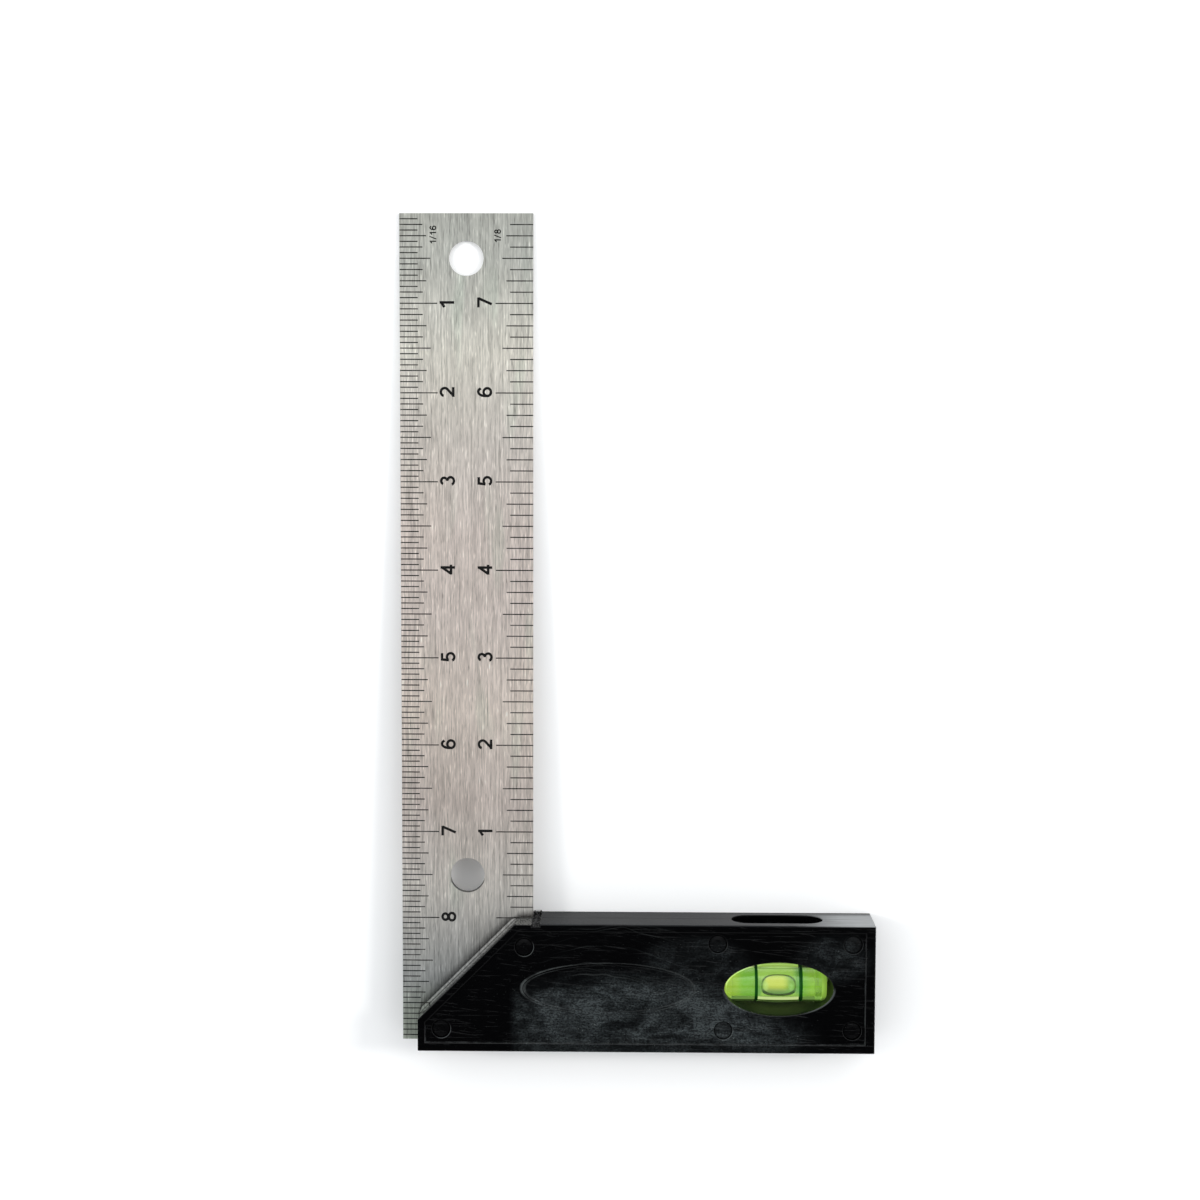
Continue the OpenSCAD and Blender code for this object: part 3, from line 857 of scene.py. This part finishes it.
def bubble_material():
    mat = Mat("bubble_yellow")
    x, y, z = mat.split(mat.point())
    along = x - vial_x
    across = y - vial_y
    # the same as shares of the half length and of the half width seen from above
    end = along / BUBBLE_HALF_LENGTH
    side = across / (BUBBLE_TOP * math.sin(BUBBLE_HALF_WIDTH / BUBBLE_TOP))
    out = abs(end) ** BUBBLE_SQUARENESS + abs(side) ** BUBBLE_SQUARENESS
    out = out ** (1 / BUBBLE_SQUARENESS)            # 1 on the outline

    # painted light and shade on the glowing bubble: yellow core, green along the lower side and
    # at both ends, with a glint at each end
    left_glint = blob(along, across, centre=(-3.75, 0.0), half=(0.7, 1.1), soft=1.4)
    right_glint = blob(along, across, centre=(3.55, -0.25), half=(0.6, 0.8), soft=1.4)
    core = mat.paint(
        (0.150, 0.295, 0.080),
        (side.step(-0.66, 0.10), (0.64, 0.68, 0.150)),
        (side.step(0.60, 0.92, to=(0.0, 0.6)), (0.40, 0.60, 0.15)),
        (end.step(0.18, 0.74, to=(0.0, 0.88)), (0.17, 0.40, 0.085)),
        (end.step(-0.60, -0.92, to=(0.0, 0.85)), (0.18, 0.42, 0.10)),
        (left_glint * 0.85, (0.57, 0.74, 0.26)),
        (right_glint * 0.75, (0.38, 0.66, 0.22)))

    # painted dark outline, the shade at the bubble's edge: heavy along the lower side, thin at
    # the top, faint at the two ends; away from the lower side a painted lighter rim
    low_side = side.step(-0.15, -0.80)
    ends = abs(end).step(0.78, 0.95) * abs(side).step(0.62, 0.25)
    start = 0.875 - low_side * 0.175
    line = (out - start).step(0.0, 0.05) * low_side.step(0.0, 1.0, to=(0.80, 1.0))
    line = line * (1.0 - ends * 0.55)
    rim = out.step(0.975, 0.995) * (1.0 - low_side)
    colour = mat.paint(core, (line, (0.004, 0.030, 0.001)), (rim * 0.6, (0.20, 0.46, 0.10)))
    return mat.glowing(colour, Roughness=0.2, IOR=1.33, Specular_IOR_Level=0.2)


def ring_band(x, ring, left, right):
    """1 over an index ring, fading out within (far, near) distances on each side of it."""
    start, stop = ring[0].x * 1000, ring[1].x * 1000
    return (x.step(start - left[0], start - left[1])
            * x.step(stop + right[0], stop + right[1]))


def tube_material():
    mat = Mat("vial_clear_acrylic")
    point = mat.point()
    x, y, z = mat.split(point)
    uneven = mat.noise(point, (0.05, 1.2, 1.2), detail=3.0, rough=0.6)
    off_middle = abs(x - vial_x)
    across = y - vial_y
    outer = (across * across + (z - vial_z) ** 2.0).sqrt() > 5.0    # outer skin of the tube
    between = off_middle.step(6.6, 6.2)                             # between the rings

    # the thick wall gathers the liquid's light along its two sides
    top = across.step(4.95, 5.1) * off_middle.step(7.2, 6.4)
    low = across.step(-2.75, -3.25) * across.step(-4.35, -4.0)
    strength = 0.04 + top * 0.44
    strength = strength + low * between.step(0.0, 1.0, to=(0.44, 0.92))

    # a thin glint by the left end of the window, followed down along a slanted line of sight
    lift = PANEL_Z - z
    side_x, side_y = in_window(x - lift * 0.073, y + lift * 0.266)
    glint = length(side_x, side_y).step(0.955, 0.995) * side_x.step(-0.30, -0.62)
    glint = glint * side_y.step(-0.30, 0.05)
    strength = (strength + glint * 0.40) * outer
    glow = mat.paint((0.30, 0.47, 0.09),
                     (across.step(0.0, -1.0), (0.27, 0.50, 0.11)),
                     (low * between, (0.54, 0.67, 0.27)),
                     (glint, (0.72, 0.86, 0.40)))

    # painted shade: a darker line near the top side and a dark lower side; green bands over the
    # rings
    rim_line = across.step(4.60, 4.74) * across.step(5.02, 4.90) * off_middle.step(7.4, 6.6)
    band = ring_band(x, ring_left, left=(0.16, 0.08), right=(0.16, 0.08))
    band = band.max(ring_band(x, ring_right, left=(0.36, 0.24), right=(0.22, 0.12)))
    tint = mat.paint((0.90, 0.98, 0.78),
                     (rim_line * 0.55, (0.20, 0.36, 0.14)),
                     (across.step(-4.15, -4.5, to=(0.0, 0.85)), (0.05, 0.09, 0.03)),
                     (band, (0.13, 0.44, 0.12)))
    return mat.surface(mat.principled(
        Base_Color=tint,
        Roughness=uneven.line(0.3, 0.7, to=(0.02, 0.06)),
        Transmission_Weight=1.0,
        IOR=1.40,
        Specular_IOR_Level=0.22,
        Emission_Color=glow,
        Emission_Strength=strength * (1.0 - band)))


def ring_material():
    mat = Mat("ring_dark_green")
    mottle = mat.noise(mat.point(), scale=0.8, detail=3.0, rough=0.6)
    return mat.surface(mat.principled(
        Base_Color=mat.mix(mottle.line(0.3, 0.7, to=(0.0, 0.1)),
                           (0.002, 0.040, 0.002), (0.0136, 0.082, 0.0136)),
        Roughness=mottle.line(0.3, 0.7, to=(0.6, 0.72)),
        Normal=mat.bump(mottle, depth=0.01, strength=0.4),
        Specular_IOR_Level=0.10))


def plug_material():
    mat = Mat("plug_lime")
    point = mat.point()
    x, y, z = mat.split(point)
    mottle = mat.noise(point, scale=0.8, detail=3.0, rough=0.6)
    # left plug yellower than the right; the low side falls into the window wall's shade
    colour = mat.paint(
        (0.45, 0.66, 0.080),
        ((x - vial_x).step(-2.0, 2.0), (0.34, 0.62, 0.078)),
        (mottle.step(0.35, 0.7, to=(0.0, 0.20)), (0.30, 0.50, 0.08)),
        ((y - vial_y).step(-2.9, -4.3, to=(0.0, 0.75)), (0.06, 0.12, 0.03)))
    return mat.glowing(colour, Roughness=0.35, Specular_IOR_Level=0.15,
                       Normal=mat.bump(mottle, depth=0.01, strength=0.4))


spirit_material().give(spirit)
bubble_material().give(bubble)
tube_material().give(nodes["vial_tube"])
nodes["vial_tube"].visible_shadow = False
ring_material().give(nodes["index_ring_left"], nodes["index_ring_right"])
plug_material().give(nodes["vial_plug_left"], nodes["vial_plug_right"])


# ------------------------------------------------------------------ floor
def make_floor():
    """A plane that touches the rear of the handle's inner edge and of the blade's tip."""
    work = bmesh.new()
    bmesh.ops.create_grid(work, x_segments=2, y_segments=2, size=3.0)
    mesh = bpy.data.meshes.new("floor")
    work.to_mesh(mesh)
    work.free()
    floor = bpy.data.objects.new("floor", mesh)
    scene.collection.objects.link(floor)
    floor.rotation_euler = (math.atan2(blade_lo.z, blade_hi.y), 0, 0)
    floor.location = (0, 0, -0.00002)               # a hair below, so that nothing coincides
    return floor


def floor_material():
    """White, with painted light: it glows a little towards the blade's tip and the handle's far
    end, paling the shadows there.
    """
    mat = Mat("floor_white")
    point = mat.point()
    x, y, z = mat.split(point)
    cloud = mat.noise(point, scale=0.01, detail=1.0)
    return mat.surface(mat.principled(
        Base_Color=mat.mix(cloud.line(0.3, 0.7), (0.90, 0.905, 0.91), (0.91, 0.91, 0.915)),
        Roughness=0.55,
        Specular_IOR_Level=0.25,
        Emission_Color=(1.0, 1.0, 1.0),
        Emission_Strength=y.step(60.0, 170.0, to=(0.0, 0.11)).max(
            x.step(88.0, 108.0, to=(0.0, 0.08)))))


floor_material().give(make_floor())

# ------------------------------------------------------------------ world
WORLD_STRENGTH = 1.68


def make_world():
    """Soft sky-like studio with a black card on the -Y side for the glossy handle to mirror."""
    world = bpy.data.worlds.new("studio")
    scene.world = world
    world.use_nodes = True
    world.node_tree.nodes.clear()
    graph = Graph(world.node_tree)
    x, y, z = graph.split(graph.node("ShaderNodeTexCoord", output="Generated"))

    # dim near the horizon, less so to the sides, and again overhead and on the -Y side
    horizon = abs(x).step(0.60, 0.92, to=(0.03, 0.30))
    level = z.step(0.26, 0.62, to=(horizon, 1.0))
    level = level * z.step(0.80, 0.96, to=(1.0, 0.42))
    level = level * y.step(-0.60, -0.02, to=(0.40, 1.0))
    card = y.step(-0.46, -0.36) * y.step(-0.10, -0.19) * abs(x - 0.01).step(0.36, 0.24)
    level = level * (1.0 - card * 0.985)
    sky = graph.node("ShaderNodeBackground",
                     {0: (0.955, 0.98, 1.0), 1: level * WORLD_STRENGTH})
    graph.node_out = graph.tree.nodes.new("ShaderNodeOutputWorld")
    graph.put(graph.node_out.inputs[0], sky)


make_world()

# ------------------------------------------------------------------ lamps, in metres and watts
LAMP_POWER = 6.5
LAMP_SIZE = (0.22, 0.30)
LAMP_TARGET = (0.03, 0.08, 0.0)
# side: place and share of the power
LAMPS = {"left": ((0.03 - 1.0, 0.24, 0.86), 0.65),
         "right": ((0.03 + 1.0, 0.24, 0.86), 1.0)}
# each lamp is split: most of it only lights the floor, a little of it glints on the steel
LAMP_PARTS = {"fill": (0.9, False), "glint": (0.1, True)}


def area_lamp(name, place, power, glossy):
    light = bpy.data.lights.new(name, "AREA")
    light.shape = "RECTANGLE"
    light.size, light.size_y = LAMP_SIZE
    light.energy = power
    light.color = (1.0, 0.985, 0.955)
    lamp = bpy.data.objects.new(name, light)
    scene.collection.objects.link(lamp)
    lamp.location = place
    aim = Vector(LAMP_TARGET) - Vector(place)
    lamp.rotation_euler = aim.to_track_quat("-Z", "Y").to_euler()
    lamp.visible_glossy = glossy


for side, (place, strength) in LAMPS.items():
    for part, (share, glossy) in LAMP_PARTS.items():
        area_lamp(f"lamp_{side}_{part}", place, LAMP_POWER * share * strength, glossy)

# ------------------------------------------------------------------ camera
CAMERA_PLACE = (0.027597, 0.142919, 0.603257)       # metres
CAMERA_TURNS = (("Z", 0.00271), ("Y", 0.01555), ("X", -0.08106))    # radians


def make_camera():
    data = bpy.data.cameras.new("camera")
    data.sensor_fit = "HORIZONTAL"
    data.sensor_width = 36.0
    data.lens = 62.1786
    data.shift_x = 0.002233333
    data.shift_y = -0.004141667
    data.clip_start, data.clip_end = 0.01, 50
    camera = bpy.data.objects.new("camera", data)
    scene.collection.objects.link(camera)
    pose = Matrix.Translation(CAMERA_PLACE)
    for axis, angle in CAMERA_TURNS:
        pose = pose @ Matrix.Rotation(angle, 4, axis)
    camera.matrix_world = pose
    scene.camera = camera


make_camera()
scene.view_settings.view_transform = "Standard"
